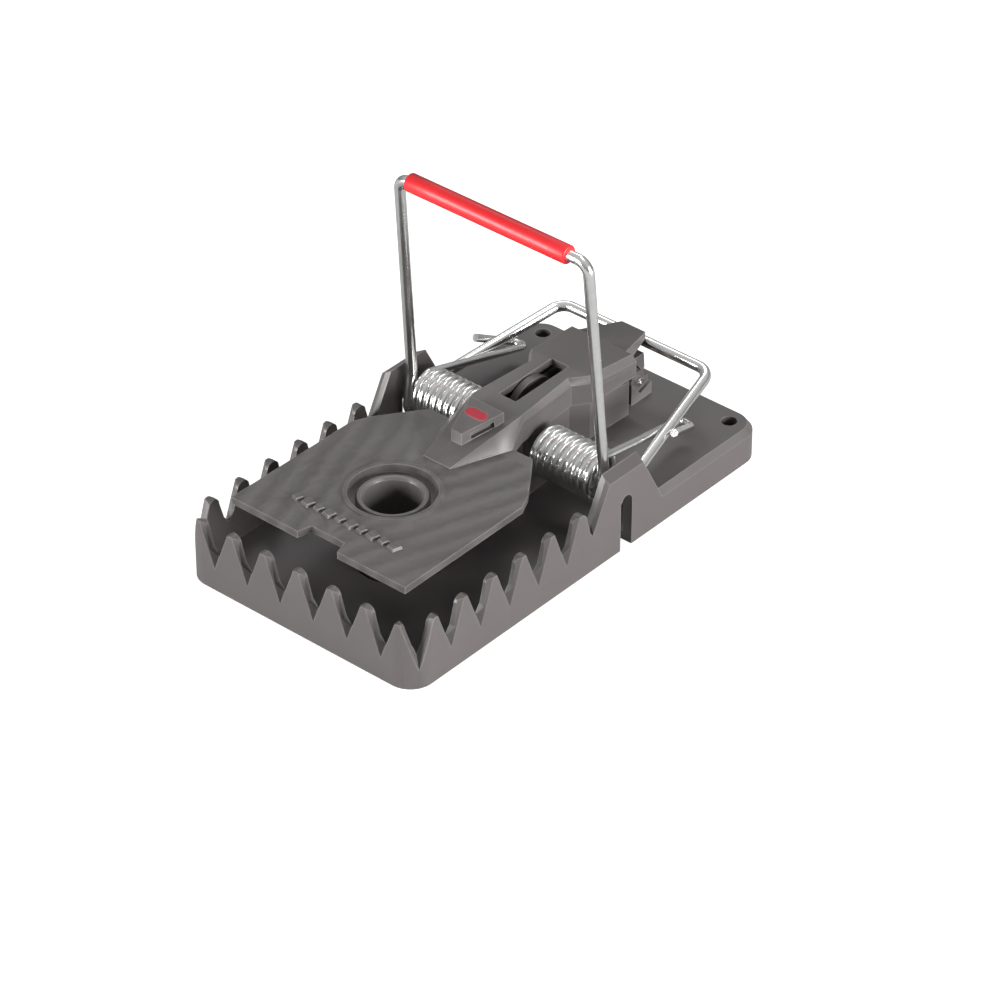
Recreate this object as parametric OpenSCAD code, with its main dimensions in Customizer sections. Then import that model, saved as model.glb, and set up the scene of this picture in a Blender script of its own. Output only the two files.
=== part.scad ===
// Snap mouse trap, shown set: a toothed tray base, a sprung wire bail and a pedal
// lever whose hook holds the bail back.
// X is the width, Y runs from the toothed front (-Y) to the screw holes (+Y), Z is up.
// The origin is the middle of the underside.

/* [Base] */
// Overall width of the base
base_w = 57; // [54:0.5:60]
// Overall length of the base
base_l = 102; // [98:0.5:106]
// Radius of the base's four plan corners
corner_r = 5; // [4:0.5:6]
// Thickness of the toothed rim
rim_t = 1.6; // [1.4:0.1:2]
// Thickness of the tray floor
floor_t = 2; // [1.8:0.1:2.4]
// Height of the deck behind the tray
deck_h = 7.4; // [6.8:0.2:8]
// Width across the deck's edge bevel
deck_bevel = 1.1; // [0.8:0.1:1.4]
// Height of the deck's edge bevel
deck_bevel_h = 1.5; // [1:0.1:2]

/* [Teeth] */
// Height of the tooth tips
tooth_h = 14.3; // [13.5:0.1:15]
// Height of the outer end of each notch between teeth
notch_h = 4.9; // [4.5:0.1:5.5]
// Height of the inner end of each notch
valley_h = 7.1; // [6.6:0.1:7.6]
// Distance between teeth on the front wall
front_pitch = 8.28; // [8.1:0.02:8.4]
// Distance between teeth on the side walls
side_pitch = 8.14; // [8:0.02:8.3]

/* [Wire and axle] */
// Diameter of the bail's wire
bail_wire_d = 2.2; // [2:0.1:2.4]
// Diameter of the springs' wire
spring_wire_d = 1.6; // [1.4:0.1:1.6]
// Diameter of the axle rod
axle_d = 2.6; // [2.4:0.1:2.6]
// Height of the kill bar above the table when set
kill_bar_z = 63.75; // [58:0.05:66]
// Coils in each spring
spring_turns = 8; // [6:1:8]

/* [Pedal lever] */
// Thickness of the pedal plate
pedal_t = 1.5; // [1.3:0.1:1.8]
// Height of the pedal plate's top
pedal_z = 17.8; // [17.4:0.1:18]
// Diameter of the hole round the bait cup
cup_hole_d = 17.1; // [16.8:0.1:17.6]
// Thickness of the lever's skirt
skirt_t = 0.8; // [0.7:0.1:0.9]

/* [Bait cup] */
// Outer diameter of the cup's rim
cup_d = 14.2; // [13.8:0.1:14.4]
// Height of the cup's rim
cup_z = 17; // [16:0.1:17.2]

/* [Screw holes] */
// Distance between the two screw holes
hole_spacing = 47.2; // [46:0.2:48]
// Diameter of the screw holes
hole_d = 3.2; // [3:0.1:3.5]

/* [Hidden] */
$fn = 64;

half_w = base_w / 2;
half_l = base_l / 2;
past = 1;                       // how far a cutter runs past what it cuts

plastic = [0.40, 0.375, 0.37];
steel = [0.80, 0.80, 0.80];
red = [0.85, 0.10, 0.12];

// Posts that carry the axle
axle_y = 9.4;
axle_z = 10.65;
post_t = 2.2;
post_x = half_w - post_t;       // inner face of each post
slot_w = 3.3;
slot_top = 12;
deck_front = 17.5;
hole_inset = 4.5;               // from the rear end to the screw holes

// Lever housing and lever, as half widths at chosen lengths along Y
neck_y = 5.3;
flare_y0 = 20.5;
flare_y1 = 24;
block_end = 36.5;
neck_half = 6.4;
waist_half = 5.5;
block_half0 = 8;
block_half1 = 8.4;
lid_z = 22.3;
lid_end_z = 21.1;
lid_edge_z = 20.8;
lid_edge_end_z = 19.6;
lid_bevel = 0.9;
skirt_z = pedal_z - pedal_t;

// Raised pad and its badge
pad_front_y = -6.4;
pad_front_z = 22;
pad_back_y = 2.4;
pad_back_z = 23.6;
pad_slope = atan((pad_back_z - pad_front_z) / (pad_back_y - pad_front_y));
badge_y = -0.7;
badge_w = 5;
badge_l = 2.2;
badge_depth = 0.4;
badge_clear = 0.05;

// Housing inside the lever
housing_gap = 0.15;             // running gap between the housing and the lever's skirt
housing_inset = skirt_t + housing_gap;
housing_z = skirt_z - 0.3;
housing_wall = 1.3;

// Lever hinge
pin_y = 41;
pin_z = 11.5;
pin_r = 0.95;
pin_clear = 0.05;
cheek_x0 = 2.8;
cheek_x1 = 4.2;
web_x0 = 4.4;
web_x1 = 5.2;
ledge_x1 = 6;

// Bail
bail_r = bail_wire_d / 2;
bail_x = 22.9;
kill_bar_y = 3.95;
crank = [23.9, 7.9, 17.5];      // slight bend in each kill leg, above the axle
lead = [24.6, 17.5, 11.8];      // slight bend in each bow leg, behind the axle
wrap_x0 = 24;
wrap_x1 = 24.3;
wrap_r = axle_d / 2 + 0.1 + bail_r;
bow_y = 46.5;
bow_z = 16.7;
bow_half = 18.6;
kill_bend_r = 2.5;
bow_bend_r = 3.4;
leg_bend_r = 8;
butt_gap = 0.2;                 // between the wire's two ends, under the sleeve
sleeve_r = 1.87;
sleeve_x0 = -20.3;
sleeve_x1 = 18.4;

// Springs
spring_r = spring_wire_d / 2;
coil_r = 4.5;                   // radius of the coil's wire centre
coil_y = 10.5;
coil_z = 12.7;
coil_x0 = 7.8;
coil_pitch = spring_wire_d + 0.04;
coil_x1 = coil_x0 + spring_turns * coil_pitch;
spring_sides = 8;
turn_steps = 24;
anchor_len = 9;                 // length of the spring's fixed leg along the deck
hook_inner = [19.6, 36.4, 11.1];
hook_outer = [22.4, 36.4, 10.9];
hook_tip = [25, 27.7, 15.1];
hook_r = 1.3;

// Pedal
pedal_front_y = -45;
pedal_half = 21.5;
cup_y = -24.3;
stud_count = 10;
stud_y = -37.2;
stud_half = 12;
stud_h = 0.55;
stud_turn = 29;
small_stud = 1.7;
large_stud = 2.1;

function unit(v) = v / norm(v);

// Points of an arc that rounds corner b of the path a, b, c
function rounded(a, b, c, r, steps) =
    let (u = unit(a - b), w = unit(c - b), half = acos(u * w) / 2)
    let (centre = b + unit(u + w) * r / sin(half))
    let (e1 = unit(b + u * r / tan(half) - centre), e2x = b + w * r / tan(half) - centre)
    let (e2 = unit(e2x - (e2x * e1) * e1), sweep = 180 - 2 * half)
    [for (i = [0 : steps]) centre + r * (cos(i * sweep / steps) * e1 + sin(i * sweep / steps) * e2)];

// A round wire along points, as one closed polyhedron
module wire(points, r, sides) {
    count = len(points);
    along = [for (i = [0 : count - 1])
        unit(points[min(i + 1, count - 1)] - points[max(i - 1, 0)])];
    start = abs(along[0].z) < 0.9 ? cross(along[0], [0, 0, 1]) : cross(along[0], [0, 1, 0]);
    side = [for (i = 0, s = unit(start); i < count;
            i = i + 1, s = i < count ? unit(s - (s * along[i]) * along[i]) : s) s];
    ring = [for (i = [0 : count - 1], k = [0 : sides - 1])
        points[i] + r * (cos(360 * k / sides) * side[i]
                         + sin(360 * k / sides) * cross(along[i], side[i]))];
    walls = [for (i = [0 : count - 2], k = [0 : sides - 1])
        [i * sides + k, i * sides + (k + 1) % sides,
         (i + 1) * sides + (k + 1) % sides, (i + 1) * sides + k]];
    first = [for (k = [sides - 1 : -1 : 0]) k];
    last = [for (k = [0 : sides - 1]) (count - 1) * sides + k];
    polyhedron(concat([for (p = ring) p]), concat([first], walls, [last]), convexity = 10);
}

module mirrored() {
    children();
    mirror([1, 0, 0]) children();
}

// Rounded rectangle, centred
module plan(w, l, r) {
    square([w - 2 * r, l], center = true);
    square([w, l - 2 * r], center = true);
    for (x = [-1, 1], y = [-1, 1])
        translate([x * (w / 2 - r), y * (l / 2 - r)]) circle(r);
}

// Shape drawn in the Y-Z plane, given a thickness along X from x0 to x1
module side_plate(x0, x1) {
    translate([x0, 0, 0]) rotate([90, 0, 90]) linear_extrude(x1 - x0) children();
}

// ---- Base ----

// One tooth above the solid part of the rim, in the X-Z plane
module tooth(pitch) {
    tip_r = 1.62;
    waist = 2.75;
    waist_z = 8.9;
    polygon([[-pitch / 2 - 0.05, 0], [pitch / 2 + 0.05, 0], [pitch / 2 + 0.05, valley_h],
             [waist, waist_z], [tip_r, tooth_h - tip_r], [-tip_r, tooth_h - tip_r],
             [-waist, waist_z], [-pitch / 2 - 0.05, valley_h]]);
    translate([0, tooth_h - tip_r]) circle(tip_r);
}

module tooth_row(count, pitch) {
    for (i = [0 : count - 1])
        translate([(i - (count - 1) / 2) * pitch, 0]) tooth(pitch);
}

// Cutter for the gap between the last front tooth and the first side tooth
module corner_gap() {
    gap_pitch = 7.2;
    wall_reach = 4;
    translate([0, wall_reach, 0]) rotate([90, 0, 0]) linear_extrude(2 * wall_reach) difference() {
        translate([-gap_pitch / 2, valley_h]) square([gap_pitch, tooth_h]);
        for (x = [-1, 1]) translate([x * gap_pitch / 2, 0]) tooth(gap_pitch);
    }
}

// Notch cutter: a V whose floor climbs steeply inwards, at the outer face of a wall
module notch() {
    climb = 60;
    spread = 0.385;
    reach = 12;
    rotate([climb - 90, 0, 0])
        translate([0, 0, -reach])
            linear_extrude(2 * reach)
                polygon([[0, 0], [reach * spread, -reach * cos(climb)],
                         [-reach * spread, -reach * cos(climb)]]);
}

module toothed_rim() {
    front_teeth = 7;
    side_teeth = 6;
    side_start = -half_l + 6.5;
    corner_turn = 60;               // direction the corner notch faces, from straight ahead
    corner_drop = 0.9;
    difference() {
        intersection() {
            linear_extrude(tooth_h) difference() {
                plan(base_w, base_l, corner_r);
                plan(base_w - 2 * rim_t, base_l - 2 * rim_t, corner_r - rim_t);
            }
            union() {
                translate([0, -half_l + corner_r, 0]) rotate([90, 0, 0])
                    linear_extrude(corner_r + past) tooth_row(front_teeth, front_pitch);
                for (x = [-half_w - past, half_w - corner_r])
                    translate([0, side_start + (side_teeth - 1) / 2 * side_pitch, 0])
                        side_plate(x, x + corner_r + past) tooth_row(side_teeth, side_pitch);
                translate([-half_w, -half_l, 0]) cube([base_w, base_l / 2 + 2, notch_h]);
                translate([-half_w, -half_l, 0]) cube([base_w, 2 * corner_r, valley_h]);
            }
            translate([-half_w, -half_l, 0]) cube([base_w, half_l + 1, tooth_h]);
        }
        for (i = [0 : front_teeth - 2])
            translate([(i - (front_teeth - 2) / 2) * front_pitch, -half_l, notch_h]) notch();
        for (i = [0 : side_teeth - 2], turn = [90, -90])
            translate([turn / 90 * half_w, side_start + (i + 0.5) * side_pitch, notch_h])
                rotate([0, 0, turn]) notch();
        for (x = [-1, 1])
            translate([x * (half_w - corner_r), -half_l + corner_r, 0]) rotate([0, 0, x * corner_turn])
                translate([0, -corner_r, 0]) {
                    corner_gap();
                    translate([0, 0, notch_h - corner_drop]) notch();
                }
    }
}

// Post with a bevelled top, a sloping front and a sloping back
module post() {
    outer_top = 17.1;
    inner_top = 18.4;
    bevel_back = 8;
    difference() {
        side_plate(post_x, half_w)
            polygon([[-1.8, 0], [20.6, 0], [20.6, deck_h - 1.4], [19.9, deck_h - 1.1], [15.3, inner_top],
                     [4.6, inner_top], [0.1, deck_h + 2.4], [-0.8, notch_h + 1.9], [-1.8, notch_h]]);
        translate([half_w, -past, outer_top]) rotate([0, 31, 0]) translate([-bevel_back, -past, 0])
            cube([2 * bevel_back, 25, 4]);
        translate([half_w, 4.4, outer_top]) rotate([0, 0, 25]) rotate([-26, 0, 0])
            translate([-bevel_back, -bevel_back, -20]) cube([2 * bevel_back, bevel_back, 40]);
        translate([half_w, 14.2, outer_top]) rotate([0, 0, -25]) rotate([26, 0, 0])
            translate([-bevel_back, 0, -20]) cube([2 * bevel_back, bevel_back, 40]);
    }
    side_plate(post_x, half_w)
        polygon([[-1.8, 0], [20.6, 0], [20.6, 5.9], [19.4, 6.4], [-0.7, 6.9], [-1.8, notch_h]]);
}

module axle_slot() {
    side_plate(post_x - past, half_w + past) {
        translate([axle_y, slot_top - slot_w / 2]) circle(slot_w / 2);
        translate([axle_y - slot_w / 2, -past]) square([slot_w, slot_top - slot_w / 2 + past]);
    }
}

// Deck with bevelled edges, ribbed underneath
module deck() {
    skin = 1.8;
    rib = 1.4;
    boss_wall = 3.6;
    cells_x = 5;
    cells_y = 3;
    edge_z = deck_h - deck_bevel_h;
    cell_l = (base_l / 2 - deck_front - skin - cells_y * rib) / cells_y;
    cell_w = (base_w - 2 * skin - (cells_x - 1) * rib) / cells_x;
    difference() {
        intersection() {
            union() {
                linear_extrude(edge_z) plan(base_w, base_l, corner_r);
                for (x = [-1, 1], y = [-1, 1])
                    translate([x * (half_w - corner_r), y * (half_l - corner_r), edge_z])
                        cylinder(h = deck_bevel_h, r1 = corner_r, r2 = corner_r - deck_bevel);
                translate([0, half_l - corner_r, edge_z]) rotate([90, 0, 0])
                    linear_extrude(base_l - 2 * corner_r)
                        polygon([[-half_w, 0], [half_w, 0], [half_w - deck_bevel, deck_bevel_h],
                                 [-half_w + deck_bevel, deck_bevel_h]]);
                translate([0, 0, edge_z]) side_plate(-half_w + corner_r, half_w - corner_r)
                    polygon([[-half_l, 0], [half_l, 0], [half_l - deck_bevel, deck_bevel_h],
                             [-half_l + deck_bevel, deck_bevel_h]]);
            }
            translate([-half_w, deck_front, 0]) cube([base_w, base_l, deck_h]);
        }
        for (i = [0 : cells_x - 1], j = [0 : cells_y - 1])
            translate([-half_w + skin + i * (cell_w + rib), deck_front + rib + j * (cell_l + rib), -past])
                cube([cell_w, cell_l, deck_h - skin + past]);
    }
    for (x = [-1, 1])
        translate([x * hole_spacing / 2, half_l - hole_inset, 0])
            cylinder(h = deck_h - skin / 2, d = hole_d + boss_wall);
}

// Plan of the lever or of the housing inside it, inset by d
module lever_plan(d) {
    polygon([[neck_half - d, neck_y + d], [waist_half - d, flare_y0 + d / 2],
             [block_half0 - d, flare_y1 + d / 2], [block_half1 - d, block_end - d],
             [-block_half1 + d, block_end - d], [-block_half0 + d, flare_y1 + d / 2],
             [-waist_half + d, flare_y0 + d / 2], [-neck_half + d, neck_y + d]]);
}

// Walls that the lever's cover telescopes over, and the disc that guides it
module housing() {
    disc_r = 7;
    disc_y = 16;
    disc_z = 15;
    rear_wall_y = block_end - 3;
    rear_drop = 0.9;                // the rear wall is lower, to let the lever's skirt swing down
    difference() {
        linear_extrude(housing_z) lever_plan(housing_inset);
        translate([0, 0, floor_t]) linear_extrude(housing_z) lever_plan(housing_inset + housing_wall);
        translate([-half_w, rear_wall_y, housing_z - rear_drop]) cube([base_w, block_end, past]);
    }
    side_plate(-1.7, -0.2) {
        translate([disc_y, disc_z]) circle(disc_r);
        translate([disc_y - 6, floor_t / 2]) square([12, disc_z]);
    }
}

// Bracket for the hinge pin, with a V pocket on its outer side
module pin_bracket() {
    base_z = deck_h - 1;
    side_plate(web_x0, web_x1) {
        translate([38.4, base_z]) square([5.6, pin_z - base_z]);
        translate([pin_y, pin_z]) circle(2.1);
    }
    side_plate(web_x0, ledge_x1)
        polygon([[38.2, base_z], [44.3, base_z], [44.3, 10.1], [40.9, 8.9], [38.2, 12.2]]);
}

module base_tray() {
    cup_seat_r = 8.9;
    cup_bore_r = 7.45;
    color(plastic) difference() {
        union() {
            toothed_rim();
            intersection() {
                linear_extrude(floor_t) plan(base_w, base_l, corner_r);
                translate([-half_w, -half_l, 0]) cube([base_w, half_l + deck_front + past, floor_t]);
            }
            deck();
            mirrored() post();
            housing();
            mirrored() pin_bracket();
        }
        mirrored() axle_slot();
        translate([-10, axle_y, axle_z]) rotate([0, 90, 0]) cylinder(h = 20, d = axle_d + 0.06);
        translate([-10, pin_y, pin_z]) rotate([0, 90, 0]) cylinder(h = 20, r = pin_r + 0.02);
        for (x = [-1, 1])
            translate([x * hole_spacing / 2, half_l - hole_inset, -past]) cylinder(h = 20, d = hole_d);
        translate([0, cup_y, -past]) cylinder(h = past + 1.1, r = cup_seat_r);
        translate([0, cup_y, -past]) cylinder(h = 10, r = cup_bore_r);
    }
}

// ---- Wire parts ----

module axle_rod() {
    rod_half = half_w - 1.2;
    color(steel) translate([-rod_half, axle_y, axle_z]) rotate([0, 90, 0])
        cylinder(h = 2 * rod_half, d = axle_d);
}

module hinge_pin() {
    color(steel) translate([-ledge_x1 - 0.1, pin_y, pin_z]) rotate([0, 90, 0])
        cylinder(h = 2 * ledge_x1 + 0.2, r = pin_r);
}

// Angle round the axle at which a straight wire from point p meets the turn under the rod
function tangent_angle(p, way) =
    let (y = p.y - axle_y, z = p.z - axle_z)
    atan2(z, y) + way * acos(wrap_r / norm([y, z]));

// One side of the bail: kill bar, leg, turn under the axle, bow leg, bow bar
function bail_side(sx) =
    let (bar_mid = [sx * butt_gap / 2, kill_bar_y, kill_bar_z])
    let (bar_corner = [sx * bail_x, kill_bar_y, kill_bar_z])
    let (crank_at = [sx * crank.x, crank.y, crank.z], lead_at = [sx * lead.x, lead.y, lead.z])
    let (turn_from = tangent_angle(crank, 1), turn_to = tangent_angle(lead, -1) + 360, steps = 10)
    let (turn = [for (i = [0 : steps]) let (a = turn_from + (turn_to - turn_from) * i / steps)
        [sx * (wrap_x0 + (wrap_x1 - wrap_x0) * i / steps), axle_y + wrap_r * cos(a),
         axle_z + wrap_r * sin(a)]])
    let (bow_corner = [sx * bow_half, bow_y, bow_z])
    concat([bar_mid], rounded(bar_mid, bar_corner, crank_at, kill_bend_r, 8),
           rounded(bar_corner, crank_at, turn[0], leg_bend_r, 3), turn,
           rounded(turn[steps], lead_at, bow_corner, leg_bend_r, 3),
           rounded(lead_at, bow_corner, [0, bow_y, bow_z], bow_bend_r, 8));

function reversed(list) = [for (i = [len(list) - 1 : -1 : 0]) list[i]];

module bail_wire() {
    color(steel) wire(concat(bail_side(1), reversed(bail_side(-1))), bail_r, 12);
}

module bar_sleeve() {
    color(red) translate([sleeve_x0, kill_bar_y, kill_bar_z]) rotate([0, 90, 0]) difference() {
        cylinder(h = sleeve_x1 - sleeve_x0, r = sleeve_r);
        translate([0, 0, -past]) cylinder(h = 60, r = bail_r + 0.05);
    }
}

// Torsion spring: fixed leg along the deck, coils, then an arm to a hook under the bow
module spring() {
    steps = spring_turns * turn_steps + turn_steps / 2;
    coil = [for (i = [0 : steps]) let (a = 270 - 360 * i / turn_steps)
        [coil_x0 + coil_pitch * i / turn_steps, coil_y + coil_r * cos(a), coil_z + coil_r * sin(a)]];
    anchor = [coil_x0, coil_y + anchor_len, coil_z - coil_r + 0.02];
    top = coil[steps];
    color(steel) wire(concat([anchor], coil, rounded(top, hook_inner, hook_outer, hook_r, 6),
                             rounded(hook_inner, hook_outer, hook_tip, hook_r, 6), [hook_tip]),
                      spring_r, spring_sides);
}

module left_spring() {
    mirror([1, 0, 0]) spring();
}

module right_spring() {
    spring();
}

// ---- Pedal lever ----

module pedal_outline() {
    notch_half = 4.9;
    notch_floor = 4.1;
    notch_depth = 3;
    half = [[pedal_half, pedal_front_y], [pedal_half - 0.2, -12.2], [19.6, -8.6], [12.8, 0.6],
            [0, 0.6]];
    polygon(concat([[notch_floor, pedal_front_y + notch_depth], [notch_half, pedal_front_y]], half,
                   [for (i = [len(half) - 1 : -1 : 0]) [-half[i].x, half[i].y]],
                   [[-notch_half, pedal_front_y], [-notch_floor, pedal_front_y + notch_depth]]));
}

// Solid between points given for one side and mirrored
module lump(points) {
    hull() for (p = points, sx = [-1, 1]) translate([sx * p.x, p.y, p.z]) cube(0.02, center = true);
}

module ramp() {
    lump([[3.3, -12, skirt_z + 0.1], [3.3, -12, pedal_z + 0.3], [8, 0.4, skirt_z + 0.1], [8, 0.4, pedal_z],
          [neck_half, neck_y, skirt_z + 0.1], [neck_half, neck_y, lid_edge_z],
          [neck_half - lid_bevel / 2, neck_y, lid_z - 0.2]]);
}

// Cover: three tapering blocks along the lever
module lid() {
    lump([[neck_half, neck_y, lid_edge_z], [waist_half, flare_y0, lid_edge_z],
          [neck_half - lid_bevel / 2, neck_y, lid_z - 0.2], [waist_half - lid_bevel, flare_y0, lid_z]]);
    lump([[waist_half, flare_y0, lid_edge_z], [block_half0, flare_y1, lid_edge_z],
          [waist_half - lid_bevel, flare_y0, lid_z], [block_half0 - lid_bevel, flare_y1 - 0.4, lid_z]]);
    lump([[block_half0, flare_y1, lid_edge_z], [block_half1, block_end, lid_edge_end_z],
          [block_half0 - lid_bevel, flare_y1 - 0.4, lid_z],
          [block_half1 - lid_bevel, block_end - 0.3, lid_end_z],
          [block_half0, flare_y1, lid_edge_end_z - 0.6], [block_half1, block_end, lid_edge_end_z - 0.6]]);
    translate([0, 0, skirt_z]) linear_extrude(lid_edge_end_z - skirt_z) lever_plan(0);
    translate([0, 0, skirt_z]) linear_extrude(lid_edge_z - skirt_z) intersection() {
        lever_plan(0);
        translate([-half_w, neck_y]) square([base_w, flare_y1 - neck_y]);
    }
}

// Raised pad with a slit in each side, for the badge
module badge_pad() {
    difference() {
        lump([[4.2, pad_back_y, pad_back_z], [4.2, pad_back_y, lid_z - 3], [1.3, pad_front_y, pad_front_z],
              [1.3, pad_front_y, pedal_z + 0.4]]);
        mirrored() translate([3.1, -2.2, lid_z - 1.1]) rotate([pad_slope, 0, -18])
            cube([2.6, 5.2, 1.3], center = true);
    }
}

module hook() {
    tab_tip = 45.9;
    under_z = bow_z + bail_r + 0.05;
    lump([[2.9, tab_tip, under_z], [2.9, tab_tip, 19.4], [2.9, tab_tip - 1.4, under_z],
          [6, block_end - 0.4, lid_edge_end_z - 2.2], [6, block_end - 0.4, lid_end_z - 0.1],
          [3.4, block_end + 2, lid_end_z - 0.3]]);
    side_plate(-3.4, 3.4) polygon([[block_end - 0.5, 16.6], [block_end + 1.5, 15.2], [45, 15.2],
                                   [45.3, 11.8], [44.6, 11.2], [42.9, 13.4], [block_end - 0.5, 13.4]]);
}

// Ear that the hinge pin passes through
module cheek() {
    side_plate(cheek_x0, cheek_x1) {
        polygon([[block_end - 0.3, 17.2], [38.6, 17.2], [42.8, 11.2], [pin_y, pin_z - 1.8],
                 [39.6, 10.8], [block_end - 0.3, 14.4]]);
        translate([pin_y, pin_z]) circle(1.8);
    }
}

// Low square stud with sloping sides, rooted in the plate
module stud(side) {
    taper = 0.35;
    root = 0.5;
    translate([0, 0, -root]) cylinder(h = root + stud_h, d1 = (side + taper) * sqrt(2),
                                      d2 = (side - taper) * sqrt(2), $fn = 4);
}

module pedal_lever() {
    roof = 1.5;
    color(plastic) difference() {
        union() {
            translate([0, 0, skirt_z]) linear_extrude(pedal_t) pedal_outline();
            ramp();
            lid();
            badge_pad();
            hook();
            mirrored() cheek();
            translate([0, cup_y, pedal_z - 0.2]) cylinder(h = 0.5, d1 = cup_hole_d + 3, d2 = cup_hole_d + 1.6);
            for (i = [0 : stud_count - 1])
                translate([(i - (stud_count - 1) / 2) * 2 * stud_half / (stud_count - 1),
                           stud_y, pedal_z])
                    rotate([0, 0, stud_turn]) stud(i % 2 == 0 ? small_stud : large_stud);
        }
        translate([0, 0, skirt_z - past]) linear_extrude(lid_edge_end_z - skirt_z + past - 0.9)
            lever_plan(skirt_t);
        translate([0, 0, skirt_z - past]) linear_extrude(lid_z - roof - skirt_z + past) intersection() {
            lever_plan(skirt_t);
            translate([-half_w, 0]) square([base_w, 30]);
        }
        translate([-4.6, -3, skirt_z - past]) cube([9.2, 9, past + 1.6]);
        translate([-2.1, 8.2, lid_z - 3]) cube([4.2, 15.5, 5]);
        translate([0, cup_y, skirt_z - past]) cylinder(h = 6, d = cup_hole_d);
        translate([-10, pin_y, pin_z]) rotate([0, 90, 0]) cylinder(h = 20, r = pin_r + pin_clear);
        on_badge_pad(-badge_depth) linear_extrude(badge_depth + past) badge_bar(badge_clear);
    }
}

// Places its children on the pad's sloping top, raised by up
module on_badge_pad(up) {
    translate([0, badge_y, pad_front_z + (badge_y - pad_front_y) * tan(pad_slope)])
        rotate([pad_slope, 0, 0]) translate([0, 0, up]) children();
}

// Rounded bar, grown by d
module badge_bar(d) {
    hull_r = badge_l / 2 + d;
    square([badge_w - badge_l, 2 * hull_r], center = true);
    for (x = [-1, 1])
        translate([x * (badge_w - badge_l) / 2, 0]) circle(hull_r);
}

module badge_inlay() {
    color(red) on_badge_pad(badge_clear - badge_depth) linear_extrude(badge_depth) badge_bar(0);
}

// ---- Bait cup ----

module bait_cup() {
    flange_r = 8.75;
    bowl_r = 5.6;
    bowl_floor = 6;
    color(plastic) translate([0, cup_y, 0]) difference() {
        union() {
            translate([0, 0, 0.2]) cylinder(h = 0.85, r = flange_r);
            translate([0, 0, 0.2]) cylinder(h = cup_z - 0.9, r1 = 6.4, r2 = cup_d / 2 - 0.3);
            translate([0, 0, cup_z - 1.6]) cylinder(h = 1.2, d = cup_d);
            translate([0, 0, cup_z - 0.4]) cylinder(h = 0.4, d1 = cup_d, d2 = cup_d - 0.8);
        }
        translate([0, 0, bowl_floor]) rotate_extrude()
            polygon(concat([[0, 0]], [for (a = [0 : 10 : 60]) [3.2 + 1.8 * sin(a), 1.8 - 1.8 * cos(a)]],
                           [[bowl_r, cup_z - bowl_floor - 0.5], [bowl_r + 0.5, cup_z - bowl_floor + 0.1],
                            [0, cup_z - bowl_floor + 0.1]]));
        difference() {
            translate([0, 0, -past]) cylinder(h = 4 + past, r = 5);
            translate([-6, -0.8, -past]) cube([12, 1.6, 8]);
        }
    }
}

base_tray();
axle_rod();
hinge_pin();
bail_wire();
bar_sleeve();
left_spring();
right_spring();
pedal_lever();
badge_inlay();
bait_cup();
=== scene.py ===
import math
import bmesh
import bpy
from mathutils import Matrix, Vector


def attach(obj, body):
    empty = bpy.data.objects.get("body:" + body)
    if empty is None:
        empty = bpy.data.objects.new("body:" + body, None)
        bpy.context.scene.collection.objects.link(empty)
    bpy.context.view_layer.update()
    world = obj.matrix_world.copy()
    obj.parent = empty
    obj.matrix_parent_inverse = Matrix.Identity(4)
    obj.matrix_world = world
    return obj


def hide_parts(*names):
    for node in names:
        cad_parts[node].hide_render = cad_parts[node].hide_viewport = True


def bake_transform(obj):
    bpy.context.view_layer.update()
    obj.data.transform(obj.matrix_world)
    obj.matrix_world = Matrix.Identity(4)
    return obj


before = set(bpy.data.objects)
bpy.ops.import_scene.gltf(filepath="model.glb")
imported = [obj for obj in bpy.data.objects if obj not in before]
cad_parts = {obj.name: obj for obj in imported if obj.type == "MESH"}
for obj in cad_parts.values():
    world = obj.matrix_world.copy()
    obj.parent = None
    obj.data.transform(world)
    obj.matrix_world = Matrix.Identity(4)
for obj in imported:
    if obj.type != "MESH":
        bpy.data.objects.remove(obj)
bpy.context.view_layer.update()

MM = 0.001

# Sizes shared with the frame, in millimetres
AXLE = (9.4, 10.65)          # Y and Z of the axle
PIN = (41.0, 11.5)           # Y and Z of the lever's hinge pin
AXLE_R = 1.3
AXLE_HALF = 27.3
PIN_R = 0.95
PIN_HALF = 6.1
BAIL_R = 1.1
BAIL_X = 22.9
WRAP_R = AXLE_R + 0.1 + BAIL_R
WRAP_X0, WRAP_X1 = 24.0, 24.3
KILL_Y, KILL_Z = 3.95, 63.75
CRANK = (23.9, 7.9, 17.5)    # slight bend in each kill leg, above the axle
LEAD = (24.6, 17.5, 11.8)    # slight bend in each bow leg, behind the axle
BOW_Y, BOW_Z, BOW_HALF = 46.5, 16.7, 18.6
BAR_BEND, LEG_BEND, BOW_BEND, HOOK_BEND = 2.5, 8.0, 3.4, 1.3     # bend radii of the wires
BUTT_HALF = 0.1              # half the gap between the wire's ends, under the sleeve
SLEEVE_R, SLEEVE_X0, SLEEVE_X1 = 1.87, -20.3, 18.4
COIL_R, COIL_Y, COIL_Z = 4.5, 10.5, 12.7
COIL_X0, COIL_PITCH, COIL_TURNS = 7.8, 1.64, 8.5
SPRING_R = 0.8
SPRING_LEG = 9.0
# The pedal plate's flutes: pitch, direction across them on +X, how far they drift, and their limits
FLUTE_PITCH = 4.6
FLUTE_ACROSS = (0.945, -0.327)
FLUTE_DRIFT, FLUTE_DRIFT_SCALE = 3.0, 600.0
FLUTE_HEIGHT = 5.0
# Painted shade: the flute hollows are darkened to this fraction of the plate's colour, standing for the
# plate's streaky reflection bands
FLUTE_HOLLOW_SHADE = 0.76            # tone of the hollows against the plate
PLATE_END_Y, PLATE_TOP_Z = -2.0, 18.15

HOOK_INNER, HOOK_OUTER, HOOK_TIP = (19.6, 36.4, 11.1), (22.4, 36.4, 10.9), (25.0, 27.7, 15.1)


# ---------------------------------------------------------------- node helpers

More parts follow.
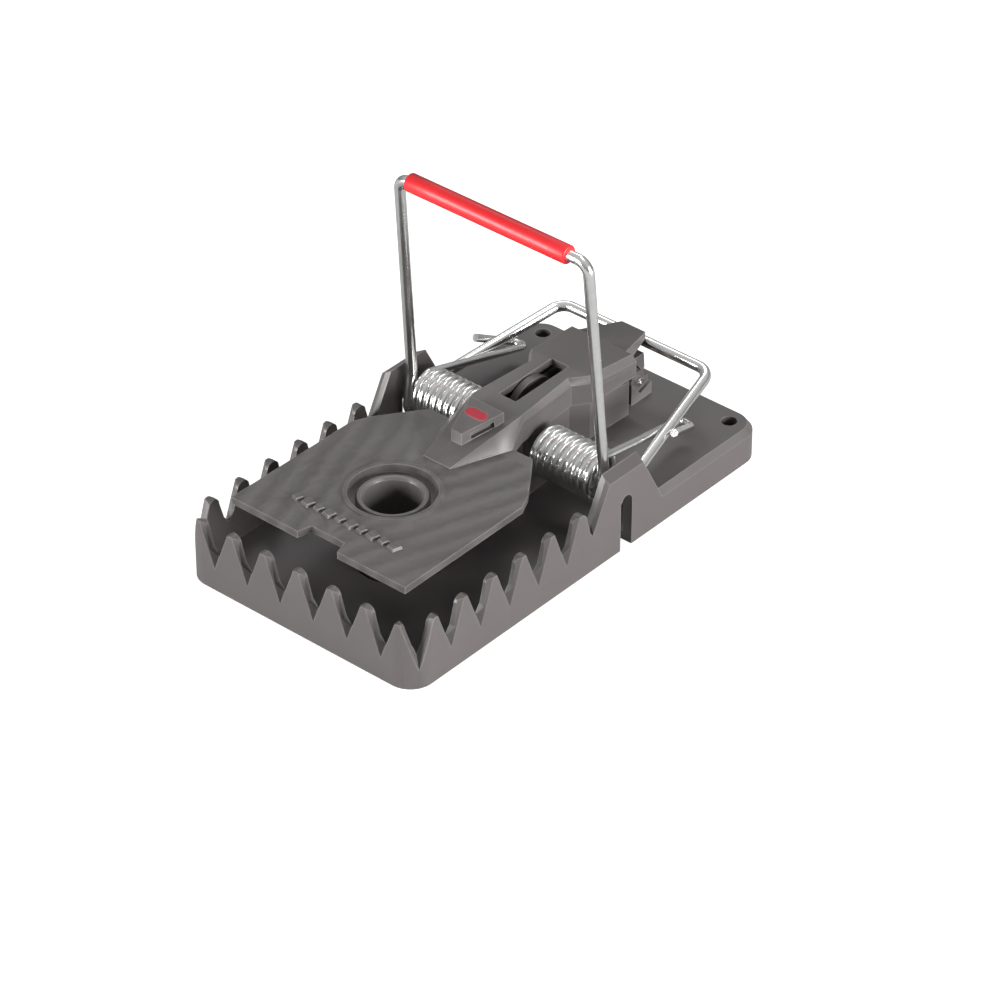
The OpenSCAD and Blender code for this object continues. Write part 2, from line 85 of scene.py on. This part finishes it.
def new_group(name, kind, inputs, outputs):
    tree = bpy.data.node_groups.new(name, kind)
    for label, socket_type, value in inputs:
        s = tree.interface.new_socket(label, in_out="INPUT", socket_type=socket_type)
        if value is not None:
            s.default_value = value
    for label, socket_type in outputs:
        tree.interface.new_socket(label, in_out="OUTPUT", socket_type=socket_type)
    return tree, tree.nodes.new("NodeGroupInput"), tree.nodes.new("NodeGroupOutput")


def put(tree, kind, settings=None, **sockets):
    """Adds a node; a socket's value is a plain value or another node's output."""
    n = tree.nodes.new(kind)
    for key, value in (settings or {}).items():
        setattr(n, key, value)
    for key, value in sockets.items():
        numbered = key[0] == "i" and key[1:].isdigit()
        slot_in = n.inputs[int(key[1:]) if numbered else key.replace("_", " ")]
        if isinstance(value, bpy.types.NodeSocket):
            tree.links.new(value, slot_in)
        else:
            slot_in.default_value = value
    return n


def maths(tree, operation, a, b=0.0, c=0.0, clamp=False):
    n = put(tree, "ShaderNodeMath", {"operation": operation, "use_clamp": clamp}, i0=a, i1=b, i2=c)
    return n.outputs[0]


def mix_colour(tree, factor, a, b):
    n = tree.nodes.new("ShaderNodeMix")
    n.data_type = "RGBA"
    for s, value in ((n.inputs[0], factor), (n.inputs[6], a), (n.inputs[7], b)):
        if isinstance(value, bpy.types.NodeSocket):
            tree.links.new(value, s)
        else:
            s.default_value = value
    return n.outputs[2]


# ---------------------------------------------------------------- shared surface effects

def painted_edge_highlight_group():
    """Painted edge highlight: a mask that is 1 on sharp edges and 0 on open faces, broken up by noise."""
    tree, gin, gout = new_group(
        "Painted edge highlights", "ShaderNodeTree",
        [("Width", "NodeSocketFloat", 0.0003), ("Strength", "NodeSocketFloat", 1.0),
         ("Breakup Scale", "NodeSocketFloat", 900.0)],
        [("Mask", "NodeSocketFloat")])
    place = put(tree, "ShaderNodeTexCoord").outputs["Object"]
    soft = put(tree, "ShaderNodeBevel", {"samples": 4}, Radius=gin.outputs["Width"]).outputs[0]
    flat = put(tree, "ShaderNodeNewGeometry").outputs["Normal"]
    dot = put(tree, "ShaderNodeVectorMath", {"operation": "DOT_PRODUCT"}, i0=soft, i1=flat).outputs["Value"]
    turned = maths(tree, "MULTIPLY", maths(tree, "SUBTRACT", 1.0, dot), 6.0, clamp=True)
    noise = put(tree, "ShaderNodeTexNoise", None, Vector=place, Scale=gin.outputs["Breakup Scale"],
                Detail=3.0).outputs[0]
    broken = maths(tree, "MULTIPLY_ADD", noise, 0.9, 0.35, clamp=True)
    mask = maths(tree, "MULTIPLY", maths(tree, "MULTIPLY", turned, broken), gin.outputs["Strength"],
                 clamp=True)
    tree.links.new(mask, gout.inputs["Mask"])
    return tree


def moulded_grain_group():
    """Fine moulded texture: a height for bump and slow patches of gloss and tone."""
    tree, gin, gout = new_group(
        "Moulded grain", "ShaderNodeTree",
        [("Grain Scale", "NodeSocketFloat", 5200.0), ("Patch Scale", "NodeSocketFloat", 70.0)],
        [("Height", "NodeSocketFloat"), ("Patches", "NodeSocketFloat"), ("Specks", "NodeSocketFloat")])
    place = put(tree, "ShaderNodeTexCoord").outputs["Object"]
    fine = put(tree, "ShaderNodeTexNoise", None, Vector=place, Scale=gin.outputs["Grain Scale"],
               Detail=2.0, Roughness=0.6).outputs[0]
    slow = put(tree, "ShaderNodeTexNoise", None, Vector=place, Scale=gin.outputs["Patch Scale"],
               Detail=2.0, Distortion=0.6).outputs[0]
    ripple = put(tree, "ShaderNodeTexNoise", None, Vector=place, Scale=420.0, Detail=1.0).outputs[0]
    height = maths(tree, "MULTIPLY_ADD", ripple, 0.35, maths(tree, "MULTIPLY", fine, 0.5))
    tree.links.new(height, gout.inputs["Height"])
    tree.links.new(slow, gout.inputs["Patches"])
    specks = put(tree, "ShaderNodeTexVoronoi", {"feature": "F1"}, Vector=place, Scale=1400.0)
    dots = maths(tree, "LESS_THAN", specks.outputs["Distance"], 0.08)
    tree.links.new(dots, gout.inputs["Specks"])
    return tree


# Painted highlight mask, lightening sharp edges in the materials below
EDGE_HIGHLIGHT = painted_edge_highlight_group()
GRAIN = moulded_grain_group()


def start_material(name):
    mat = bpy.data.materials.new(name)
    mat.use_nodes = True
    tree = mat.node_tree
    return mat, tree, tree.nodes["Principled BSDF"]


def moulded_plastic(name, colour, light, edge, roughness, width=0.00035, fan=False):
    """Satin moulded plastic; fan adds the shallow fanned flutes of the pedal plate, with painted shade
    darkening their hollows.
    """
    mat, tree, shader = start_material(name)
    grain = put(tree, "ShaderNodeGroup", {"node_tree": GRAIN})
    edge_highlight = put(tree, "ShaderNodeGroup", {"node_tree": EDGE_HIGHLIGHT}, Width=width, Strength=0.75)
    tone = mix_colour(tree, grain.outputs["Patches"], colour, light)
    height = grain.outputs["Height"]
    if fan:
        place = put(tree, "ShaderNodeTexCoord").outputs["Object"]
        spot = put(tree, "ShaderNodeSeparateXYZ", None, Vector=place)
        x, y, z = spot.outputs
        across = maths(tree, "ADD", maths(tree, "MULTIPLY", maths(tree, "ABSOLUTE", x), FLUTE_ACROSS[0]),
                       maths(tree, "MULTIPLY", y, FLUTE_ACROSS[1]))
        drift = put(tree, "ShaderNodeTexNoise", None, Vector=place, Scale=FLUTE_DRIFT_SCALE,
                    Detail=1.0).outputs[0]
        wave = maths(tree, "SINE", maths(tree, "MULTIPLY_ADD", across, 2 * math.pi / (FLUTE_PITCH * MM),
                                         maths(tree, "MULTIPLY", drift, FLUTE_DRIFT)))
        on_plate = maths(tree, "MULTIPLY", maths(tree, "LESS_THAN", y, PLATE_END_Y * MM),
                         maths(tree, "LESS_THAN", z, PLATE_TOP_Z * MM))
        flute = maths(tree, "MULTIPLY", wave, on_plate)
        height = maths(tree, "MULTIPLY_ADD", flute, FLUTE_HEIGHT, height)
        # Painted shade: the flute hollows on the plate are darkened
        painted_hollow_shade = mix_colour(tree, on_plate, tone, [c * FLUTE_HOLLOW_SHADE for c in colour[:3]] + [1.0])
        tone = mix_colour(tree, maths(tree, "MULTIPLY_ADD", flute, 0.5, 0.5, clamp=True), painted_hollow_shade, tone)
    tone = mix_colour(tree, maths(tree, "MULTIPLY", grain.outputs["Specks"], 0.12), tone, edge)
    # Painted highlight: sharp edges are lightened toward the pale edge colour, which the moulded specks above
    # also use
    tone = mix_colour(tree, edge_highlight.outputs["Mask"], tone, edge)
    tree.links.new(tone, shader.inputs["Base Color"])
    rough = maths(tree, "MULTIPLY_ADD", grain.outputs["Patches"], 0.12, roughness - 0.06)
    rough = maths(tree, "SUBTRACT", rough, maths(tree, "MULTIPLY", edge_highlight.outputs["Mask"], 0.08), clamp=True)
    tree.links.new(rough, shader.inputs["Roughness"])
    bump = put(tree, "ShaderNodeBump", None, Strength=0.35, Distance=0.00002, Height=height)
    tree.links.new(bump.outputs["Normal"], shader.inputs["Normal"])
    shader.inputs["Specular IOR Level"].default_value = 0.5
    return mat


def plated_steel(name, colour, dull, roughness):
    """Bright plated wire, with drawing marks and slightly duller patches."""
    mat, tree, shader = start_material(name)
    place = put(tree, "ShaderNodeTexCoord").outputs["Object"]
    patches = put(tree, "ShaderNodeTexNoise", None, Vector=place, Scale=260.0, Detail=3.0,
                  Roughness=0.6).outputs[0]
    marks = put(tree, "ShaderNodeTexNoise", None, Vector=place, Scale=3800.0, Detail=2.0).outputs[0]
    worn = put(tree, "ShaderNodeMapRange", {"clamp": True}, Value=patches, From_Min=0.42,
               From_Max=0.72).outputs[0]
    tree.links.new(mix_colour(tree, worn, colour, dull), shader.inputs["Base Color"])
    shader.inputs["Metallic"].default_value = 1.0
    rough = maths(tree, "ADD", maths(tree, "MULTIPLY", worn, 0.08),
                  maths(tree, "MULTIPLY_ADD", marks, 0.06, roughness))
    tree.links.new(rough, shader.inputs["Roughness"])
    bump = put(tree, "ShaderNodeBump", None, Strength=0.18, Distance=0.00001, Height=marks)
    tree.links.new(bump.outputs["Normal"], shader.inputs["Normal"])
    return mat


def red_plastic(name, colour, light, roughness, coat, drawn=0.0):
    """Red moulded plastic; drawn adds fine lines along X, as on extruded tube."""
    mat, tree, shader = start_material(name)
    grain = put(tree, "ShaderNodeGroup", {"node_tree": GRAIN}, Patch_Scale=160.0)
    edge_highlight = put(tree, "ShaderNodeGroup", {"node_tree": EDGE_HIGHLIGHT}, Width=0.00025, Strength=0.5)
    tone = mix_colour(tree, grain.outputs["Patches"], colour, light)
    # Painted highlight: sharp edges are lightened toward a pale red
    tone = mix_colour(tree, edge_highlight.outputs["Mask"], tone, (0.95, 0.35, 0.33, 1.0))
    tree.links.new(tone, shader.inputs["Base Color"])
    rough = maths(tree, "MULTIPLY_ADD", grain.outputs["Patches"], 0.14, roughness - 0.07)
    tree.links.new(rough, shader.inputs["Roughness"])
    place = put(tree, "ShaderNodeTexCoord").outputs["Object"]
    stretch = put(tree, "ShaderNodeMapping", None, Vector=place, Scale=(60.0, 2600.0, 2600.0)).outputs[0]
    lines = put(tree, "ShaderNodeTexNoise", None, Vector=stretch, Scale=1.0, Detail=2.0).outputs[0]
    height = maths(tree, "MULTIPLY_ADD", lines, drawn, grain.outputs["Height"])
    bump = put(tree, "ShaderNodeBump", None, Strength=0.3, Distance=0.00003, Height=height)
    tree.links.new(bump.outputs["Normal"], shader.inputs["Normal"])
    shader.inputs["Coat Weight"].default_value = coat
    shader.inputs["Coat Roughness"].default_value = 0.2
    return mat


BASE_PLASTIC = moulded_plastic("base plastic", (0.098, 0.089, 0.087, 1), (0.112, 0.101, 0.099, 1),
                               (0.30, 0.29, 0.28, 1), 0.42)
LEVER_PLASTIC = moulded_plastic("lever plastic", (0.098, 0.090, 0.088, 1), (0.110, 0.101, 0.098, 1),
                                (0.30, 0.29, 0.28, 1), 0.40, fan=True)
CUP_PLASTIC = moulded_plastic("cup plastic", (0.115, 0.108, 0.105, 1), (0.135, 0.126, 0.122, 1),
                              (0.33, 0.33, 0.31, 1), 0.36)
STEEL = plated_steel("plated steel wire", (0.90, 0.90, 0.89, 1), (0.80, 0.80, 0.79, 1), 0.16)
SPRING_STEEL = plated_steel("spring steel wire", (0.88, 0.88, 0.87, 1), (0.74, 0.74, 0.73, 1), 0.15)
RED_SLEEVE = red_plastic("red sleeve", (0.68, 0.012, 0.018, 1), (0.74, 0.020, 0.028, 1), 0.44, 0.08,
                         drawn=1.6)
RED_MARK = red_plastic("red mark", (0.36, 0.012, 0.028, 1), (0.42, 0.018, 0.036, 1), 0.45, 0.0)


# ---------------------------------------------------------------- mesh helpers

def add_object(name, mesh, material):
    obj = bpy.data.objects.new(name, mesh)
    bpy.context.scene.collection.objects.link(obj)
    mesh.materials.clear()
    mesh.materials.append(material)
    return obj


def moulding(node, name, material, width, body, cuts=(), angle=24.0):
    """A moulded piece on the shape of its CAD node, with every sharp edge rounded over.

    cuts are planes (axis, millimetres) that keep flat faces with holes in them split."""
    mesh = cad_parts[node].data.copy()
    mesh.name = name
    bm = bmesh.new()
    bm.from_mesh(mesh)
    bmesh.ops.remove_doubles(bm, verts=bm.verts, dist=0.004 * MM)
    bmesh.ops.dissolve_degenerate(bm, edges=bm.edges, dist=0.004 * MM)
    for axis, place in cuts:
        normal = Vector([float(k == axis) for k in range(3)])
        everything = bm.verts[:] + bm.edges[:] + bm.faces[:]
        cut = bmesh.ops.bisect_plane(bm, geom=everything, dist=0.002 * MM, plane_co=normal * (place * MM),
                                     plane_no=normal)["geom_cut"]
        for part in cut:
            if isinstance(part, bmesh.types.BMEdge):
                part.seam = True
    bmesh.ops.dissolve_limit(bm, angle_limit=math.radians(0.8), verts=bm.verts, edges=bm.edges,
                             use_dissolve_boundaries=False, delimit={"SEAM"})
    fresh = bpy.data.meshes.new(name)
    bm.to_mesh(fresh)
    bm.free()
    bpy.data.meshes.remove(mesh)
    for p in fresh.polygons:
        p.use_smooth = True
    fresh.set_sharp_from_angle(angle=math.radians(angle))
    obj = add_object(name, fresh, material)
    bevel = obj.modifiers.new("rounded edges", "BEVEL")
    bevel.width = width * MM
    bevel.segments = 2
    bevel.limit_method = "ANGLE"
    bevel.angle_limit = math.radians(angle)
    bevel.use_clamp_overlap = True
    bevel.harden_normals = True
    bevel.miter_outer = "MITER_ARC"
    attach(obj, body)
    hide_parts(node)
    return obj


def turned(name, profile, centre, material, steps=64):
    """A closed ring shape about an axis along X; profile is (x, radius) points in millimetres."""
    bm = bmesh.new()
    rings = []
    for x, r in profile:
        if r < 1e-6:
            rings.append([bm.verts.new((x * MM, centre[0] * MM, centre[1] * MM))])
            continue
        rings.append([bm.verts.new((x * MM, (centre[0] + r * math.cos(2 * math.pi * k / steps)) * MM,
                                    (centre[1] + r * math.sin(2 * math.pi * k / steps)) * MM))
                      for k in range(steps)])
    pairs = list(zip(rings, rings[1:]))
    if len(rings[0]) > 1:
        pairs.append((rings[-1], rings[0]))
    for a, b in pairs:
        for k in range(steps):
            corners = [a[k % len(a)], a[(k + 1) % len(a)], b[(k + 1) % len(b)], b[k % len(b)]]
            corners = list(dict.fromkeys(corners))
            if len(corners) > 2:
                bm.faces.new(corners)
    bmesh.ops.recalc_face_normals(bm, faces=bm.faces)
    mesh = bpy.data.meshes.new(name)
    bm.to_mesh(mesh)
    bm.free()
    for p in mesh.polygons:
        p.use_smooth = True
    mesh.set_sharp_from_angle(angle=math.radians(40))
    return add_object(name, mesh, material)


def bend(a, b, c, r, steps):
    """Points of an arc of radius r that rounds corner b of the path a, b, c."""
    a, b, c = Vector(a), Vector(b), Vector(c)
    u, w = (a - b).normalized(), (c - b).normalized()
    half = u.angle(w) / 2
    centre = b + (u + w).normalized() * (r / math.sin(half))
    start = (b + u * (r / math.tan(half)) - centre).normalized()
    end = b + w * (r / math.tan(half)) - centre
    side = (end - start * end.dot(start)).normalized()
    sweep = math.pi - 2 * half
    return [centre + (start * math.cos(i * sweep / steps) + side * math.sin(i * sweep / steps)) * r
            for i in range(steps + 1)]


# ---------------------------------------------------------------- wire work in geometry nodes

def wire_tree():
    """Sweeps a round wire along the polyline that the mesh holds."""
    tree, gin, gout = new_group(
        "Wire along a path", "GeometryNodeTree",
        [("Path", "NodeSocketGeometry", None), ("Wire Radius", "NodeSocketFloat", 0.001),
         ("Sides", "NodeSocketInt", 24), ("Finish", "NodeSocketMaterial", None)],
        [("Wire", "NodeSocketGeometry")])
    curve = put(tree, "GeometryNodeMeshToCurve", None, Mesh=gin.outputs["Path"]).outputs[0]
    ring = put(tree, "GeometryNodeCurvePrimitiveCircle", None, Resolution=gin.outputs["Sides"],
               Radius=gin.outputs["Wire Radius"]).outputs[0]
    finish_wire(tree, gin, gout, curve, ring)
    return tree


def finish_wire(tree, gin, gout, curve, ring):
    swept = put(tree, "GeometryNodeCurveToMesh", None, Curve=curve, Profile_Curve=ring, Fill_Caps=True)
    real = put(tree, "GeometryNodeRealizeInstances", None, Geometry=swept.outputs[0])
    done = put(tree, "GeometryNodeSetMaterial", None, Geometry=real.outputs[0],
               Material=gin.outputs["Finish"])
    tree.links.new(done.outputs[0], gout.inputs["Wire"])


def coil_tree():
    """A torsion spring's coils along X with a straight leg before the first turn."""
    tree, gin, gout = new_group(
        "Torsion coil", "GeometryNodeTree",
        [("Turns", "NodeSocketFloat", 8.5), ("Steps Per Turn", "NodeSocketInt", 40),
         ("Pitch", "NodeSocketFloat", 0.0016), ("Coil Radius", "NodeSocketFloat", 0.0045),
         ("Leg Length", "NodeSocketFloat", 0.009), ("Wire Radius", "NodeSocketFloat", 0.0008),
         ("Sides", "NodeSocketInt", 18), ("Side", "NodeSocketFloat", 1.0),
         ("Start", "NodeSocketVector", (0.0, 0.0, 0.0)), ("Finish", "NodeSocketMaterial", None)],
        [("Wire", "NodeSocketGeometry")])
    steps = gin.outputs["Steps Per Turn"]
    count = maths(tree, "ADD", maths(tree, "MULTIPLY", gin.outputs["Turns"], steps), 2.0)
    line = put(tree, "GeometryNodeMeshLine", None, Count=count).outputs[0]
    index = put(tree, "GeometryNodeInputIndex").outputs[0]
    turn = maths(tree, "DIVIDE", maths(tree, "MAXIMUM", maths(tree, "SUBTRACT", index, 1.0), 0.0), steps)
    angle = maths(tree, "SUBTRACT", -math.pi / 2, maths(tree, "MULTIPLY", turn, 2 * math.pi))
    along = maths(tree, "MULTIPLY", maths(tree, "MULTIPLY", turn, gin.outputs["Pitch"]), gin.outputs["Side"])
    radius = gin.outputs["Coil Radius"]
    is_leg = maths(tree, "LESS_THAN", index, 0.5)
    y = maths(tree, "ADD", maths(tree, "MULTIPLY", maths(tree, "COSINE", angle), radius),
              maths(tree, "MULTIPLY", is_leg, gin.outputs["Leg Length"]))
    z = maths(tree, "MULTIPLY", maths(tree, "SINE", angle), radius)
    spot = put(tree, "ShaderNodeCombineXYZ", None, X=along, Y=y, Z=z).outputs[0]
    place = put(tree, "ShaderNodeVectorMath", {"operation": "ADD"}, i0=spot,
                i1=gin.outputs["Start"]).outputs[0]
    bent = put(tree, "GeometryNodeSetPosition", None, Geometry=line, Position=place).outputs[0]
    curve = put(tree, "GeometryNodeMeshToCurve", None, Mesh=bent).outputs[0]
    ring = put(tree, "GeometryNodeCurvePrimitiveCircle", None, Resolution=gin.outputs["Sides"],
               Radius=gin.outputs["Wire Radius"]).outputs[0]
    finish_wire(tree, gin, gout, curve, ring)
    return tree


def grown(name, tree, material, points=(), **values):
    """Runs a tree on a polyline of points and keeps its result as a plain mesh."""
    seed = bpy.data.meshes.new(name + " path")
    seed.from_pydata([tuple(c * MM for c in p) for p in points],
                     [(i, i + 1) for i in range(len(points) - 1)], [])
    maker = bpy.data.objects.new(name + " maker", seed)
    bpy.context.scene.collection.objects.link(maker)
    modifier = maker.modifiers.new("tree", "NODES")
    modifier.node_group = tree
    wanted = dict(values, Finish=material)
    for item in tree.interface.items_tree:
        if item.in_out == "INPUT" and item.name in wanted:
            modifier[item.identifier] = wanted[item.name]
        elif item.in_out == "INPUT" and item.name.replace(" ", "_") in wanted:
            modifier[item.identifier] = wanted[item.name.replace(" ", "_")]
    evaluated = maker.evaluated_get(bpy.context.evaluated_depsgraph_get())
    mesh = bpy.data.meshes.new_from_object(evaluated)
    maker.modifiers.remove(modifier)
    bpy.data.objects.remove(maker)
    bm = bmesh.new()
    bm.from_mesh(mesh)
    bmesh.ops.recalc_face_normals(bm, faces=bm.faces)
    bm.to_mesh(mesh)
    bm.free()
    for p in mesh.polygons:
        p.use_smooth = True
    mesh.set_sharp_from_angle(angle=math.radians(50))
    mesh.name = name
    return add_object(name, mesh, material)


WIRE = wire_tree()
COIL = coil_tree()


# ---------------------------------------------------------------- the pieces

def tangent_angle(point, way):
    """Angle round the axle at which a straight wire from a point meets the turn under the rod."""
    y, z = point[1] - AXLE[0], point[2] - AXLE[1]
    return math.atan2(z, y) + way * math.acos(WRAP_R / math.hypot(y, z))


def make_bail():
    first, last, steps = tangent_angle(CRANK, 1), tangent_angle(LEAD, -1) + 2 * math.pi, 18

    def side(sx):
        middle = (sx * BUTT_HALF, KILL_Y, KILL_Z)
        corner = (sx * BAIL_X, KILL_Y, KILL_Z)
        crank, lead = (sx * CRANK[0], *CRANK[1:]), (sx * LEAD[0], *LEAD[1:])
        turn = []
        for i in range(steps + 1):
            part = i / steps
            angle = first + (last - first) * part
            turn.append((sx * (WRAP_X0 + (WRAP_X1 - WRAP_X0) * part), AXLE[0] + WRAP_R * math.cos(angle),
                         AXLE[1] + WRAP_R * math.sin(angle)))
        bow = (sx * BOW_HALF, BOW_Y, BOW_Z)
        return ([middle] + bend(middle, corner, crank, BAR_BEND, 14)
                + bend(corner, crank, turn[0], LEG_BEND, 5) + turn
                + bend(turn[-1], lead, bow, LEG_BEND, 5)
                + bend(lead, bow, (0, BOW_Y, BOW_Z), BOW_BEND, 14))

    path = side(1) + side(-1)[::-1]
    bail = grown("bail_wire_bent", WIRE, STEEL, path, Wire_Radius=BAIL_R * MM, Sides=32)
    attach(bail, "bail")
    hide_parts("bail_wire")
    r, bore, lip = SLEEVE_R, BAIL_R + 0.04, 0.28
    x0, x1 = SLEEVE_X0, SLEEVE_X1
    profile = [(x0, bore), (x0, r - lip), (x0 + 0.08, r - 0.1), (x0 + lip, r)]
    profile += [(x0 + lip + (x1 - x0 - 2 * lip) * i / 6, r) for i in range(1, 6)]
    profile += [(x1 - lip, r), (x1 - 0.08, r - 0.1), (x1, r - lip), (x1, bore)]
    sleeve = turned("bar_sleeve_round", profile, (KILL_Y, KILL_Z), RED_SLEEVE)
    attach(sleeve, "bail")
    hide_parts("bar_sleeve")


def make_spring(side, name, node):
    end_x = COIL_X0 + COIL_PITCH * COIL_TURNS
    coil = grown(name + "_coil", COIL, SPRING_STEEL, [(0, 0, 0)], Turns=COIL_TURNS, Pitch=COIL_PITCH * MM,
                 Coil_Radius=COIL_R * MM, Leg_Length=SPRING_LEG * MM, Wire_Radius=SPRING_R * MM,
                 Side=float(side), Start=(side * COIL_X0 * MM, COIL_Y * MM, COIL_Z * MM))
    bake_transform(coil)
    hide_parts(node)
    top = (side * end_x, COIL_Y, COIL_Z + COIL_R)
    inner, outer, tip = [(side * p[0], *p[1:]) for p in (HOOK_INNER, HOOK_OUTER, HOOK_TIP)]
    path = [top] + bend(top, inner, outer, HOOK_BEND, 10) + bend(inner, outer, tip, HOOK_BEND, 10) + [tip]
    arm = grown(name + "_arm", WIRE, SPRING_STEEL, path, Wire_Radius=SPRING_R * MM, Sides=18)
    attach(arm, "bail")


def make_rods():
    chamfer = 0.25
    end = [(-AXLE_HALF, 0), (-AXLE_HALF, AXLE_R - chamfer), (-AXLE_HALF + chamfer, AXLE_R)]
    axle = turned("axle_rod_turned", end + [(-x, r) for x, r in end[::-1]], AXLE, STEEL, 40)
    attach(axle, "base")
    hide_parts("axle_rod")
    end = [(-PIN_HALF + 0.3, 0), (-PIN_HALF + 0.25, 0.28), (-PIN_HALF, 0.38), (-PIN_HALF, PIN_R - 0.12),
           (-PIN_HALF + 0.12, PIN_R)]
    pin = turned("hinge_pin_turned", end + [(-x, r) for x, r in end[::-1]], PIN, STEEL, 32)
    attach(pin, "base")
    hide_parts("hinge_pin")


# Planes through the holes in each moulding's flat faces; the middle one is just off the lever's own seam
MIDDLE, CUP_PLANE = (0, 0.013), (1, -24.3)
SCREW_PLANES = [(0, -23.6), (0, 23.6)]
RIB_PLANES = [(1, 23.5), (1, 34.05), (1, 44.6)]
AXLE_PLANE, STUD_PLANE, SLIT_PLANE, PIN_PLANE = (1, 9.4), (1, -37.2), (1, -2.2), (1, 41.0)

moulding("base_tray", "base_tray_moulding", BASE_PLASTIC, 0.18, "base",
         [MIDDLE, *SCREW_PLANES, CUP_PLANE, AXLE_PLANE, *RIB_PLANES])
moulding("pedal_lever", "pedal_lever_moulding", LEVER_PLASTIC, 0.2, "pedal",
         [MIDDLE, STUD_PLANE, CUP_PLANE, SLIT_PLANE, PIN_PLANE])
moulding("bait_cup", "bait_cup_moulding", CUP_PLASTIC, 0.14, "cup", [MIDDLE, CUP_PLANE])
moulding("badge_inlay", "badge_inlay_bar", RED_MARK, 0.08, "pedal")
make_bail()
make_spring(1, "right_spring", "right_spring")
make_spring(-1, "left_spring", "left_spring")
make_rods()


# ---------------------------------------------------------------- studio

def make_floor():
    mesh = bpy.data.meshes.new("floor")
    half = 4.0
    corners = [(-half, -half, 0), (half, -half, 0), (half, half, 0), (-half, half, 0)]
    mesh.from_pydata(corners, [], [(0, 1, 2, 3)])
    mat, tree, shader = start_material("studio floor")
    shader.inputs["Base Color"].default_value = (0.62, 0.62, 0.62, 1)
    shader.inputs["Roughness"].default_value = 0.9
    shader.inputs["Specular IOR Level"].default_value = 0.1
    shader.inputs["Emission Color"].default_value = (1, 1, 1, 1)
    seen = put(tree, "ShaderNodeLightPath").outputs["Is Camera Ray"]
    tree.links.new(maths(tree, "MULTIPLY", seen, 0.78), shader.inputs["Emission Strength"])
    floor = add_object("floor", mesh, mat)
    floor.location.z = -0.00005


def soft_light(name, azimuth, elevation, distance, size, power, target=(0, 0, 0.015)):
    data = bpy.data.lights.new(name, "AREA")
    data.shape = "RECTANGLE"
    data.size, data.size_y = size
    data.energy = power
    lamp = bpy.data.objects.new(name, data)
    bpy.context.scene.collection.objects.link(lamp)
    a, e = math.radians(azimuth), math.radians(elevation)
    back = Vector((math.sin(a) * math.cos(e), -math.cos(a) * math.cos(e), math.sin(e)))
    lamp.location = Vector(target) + back * distance
    lamp.rotation_mode = "QUATERNION"
    lamp.rotation_quaternion = back.to_track_quat("Z", "Y")


def make_world():
    world = bpy.data.worlds.new("studio")
    bpy.context.scene.world = world
    world.use_nodes = True
    tree = world.node_tree
    tree.nodes.clear()
    up = put(tree, "ShaderNodeSeparateXYZ", None, Vector=put(tree, "ShaderNodeTexCoord").outputs["Generated"])
    shade = put(tree, "ShaderNodeMapRange", {"clamp": True}, Value=up.outputs["Z"], From_Min=-0.1,
                From_Max=0.9, To_Min=0.03, To_Max=0.14).outputs[0]
    rays = put(tree, "ShaderNodeLightPath")
    boost = maths(tree, "MULTIPLY_ADD", rays.outputs["Is Glossy Ray"], 3.0, 1.0)
    bright = maths(tree, "MULTIPLY", shade, boost)
    room = put(tree, "ShaderNodeBackground", None, Color=(1, 1, 1, 1), Strength=bright)
    white = put(tree, "ShaderNodeBackground", None, Color=(1, 1, 1, 1), Strength=1.0)
    mix = put(tree, "ShaderNodeMixShader", None, i0=rays.outputs["Is Camera Ray"], i1=room.outputs[0],
              i2=white.outputs[0])
    put(tree, "ShaderNodeOutputWorld", None, Surface=mix.outputs[0])


# Camera: its direction in degrees, the point it looks at and its distance, in millimetres
CAMERA_AZIMUTH, CAMERA_ELEVATION = 40.78, 35.57
CAMERA_TARGET, CAMERA_DISTANCE = (9.62, -5.05, 10.0), 870.8


def make_camera():
    data = bpy.data.cameras.new("camera")
    data.sensor_width = 36
    data.lens = 167.0
    data.clip_start = 0.02
    data.clip_end = 50
    cam = bpy.data.objects.new("camera", data)
    bpy.context.scene.collection.objects.link(cam)
    a, e = math.radians(CAMERA_AZIMUTH), math.radians(CAMERA_ELEVATION)
    back = Vector((math.sin(a) * math.cos(e), -math.cos(a) * math.cos(e), math.sin(e)))
    cam.location = Vector(CAMERA_TARGET) * MM + back * (CAMERA_DISTANCE * MM)
    cam.rotation_mode = "QUATERNION"
    cam.rotation_quaternion = (-back).to_track_quat("-Z", "Y")
    bpy.context.scene.camera = cam


make_floor()
make_world()
make_camera()
soft_light("right softbox", 96, 10, 1.1, (0.6, 0.6), 25)
soft_light("front softbox", -26, 10, 1.2, (0.6, 0.5), 21)
soft_light("back softbox", 214, 44, 1.2, (0.6, 0.3), 1.8)
soft_light("top softbox", 160, 76, 1.2, (0.5, 0.3), 1.2)

scene = bpy.context.scene
scene.view_settings.view_transform = "Standard"
scene.view_settings.look = "None"
